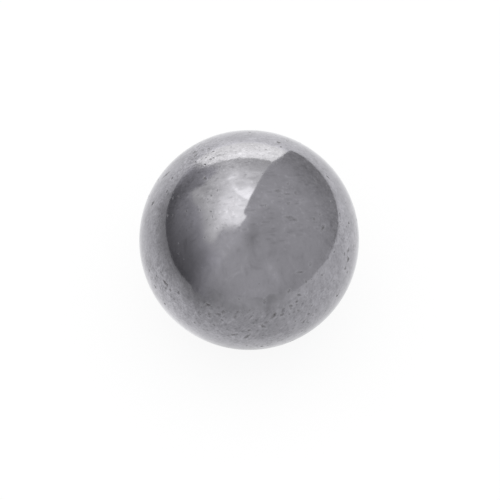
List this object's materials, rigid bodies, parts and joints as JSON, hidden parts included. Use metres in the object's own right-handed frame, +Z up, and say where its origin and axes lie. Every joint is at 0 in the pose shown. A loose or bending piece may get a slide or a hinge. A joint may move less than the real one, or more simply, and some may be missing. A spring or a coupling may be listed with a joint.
{
  "type": "steel ball",
  "caption": "Solid round steel ball with a polished, finely pitted surface, for bearings, rolling tracks or use as a small weight.",
  "frame": {"origin": "centre of the ball", "axes": "+Z up, away from what the ball is set on; the ball is the same along every axis"},
  "size_m": [0.015, 0.015, 0.015],
  "materials": {
    "polished_steel": "polished"
  },
  "bodies": {
    "root": {"ball": "polished_steel"}
  },
  "joints": []
}
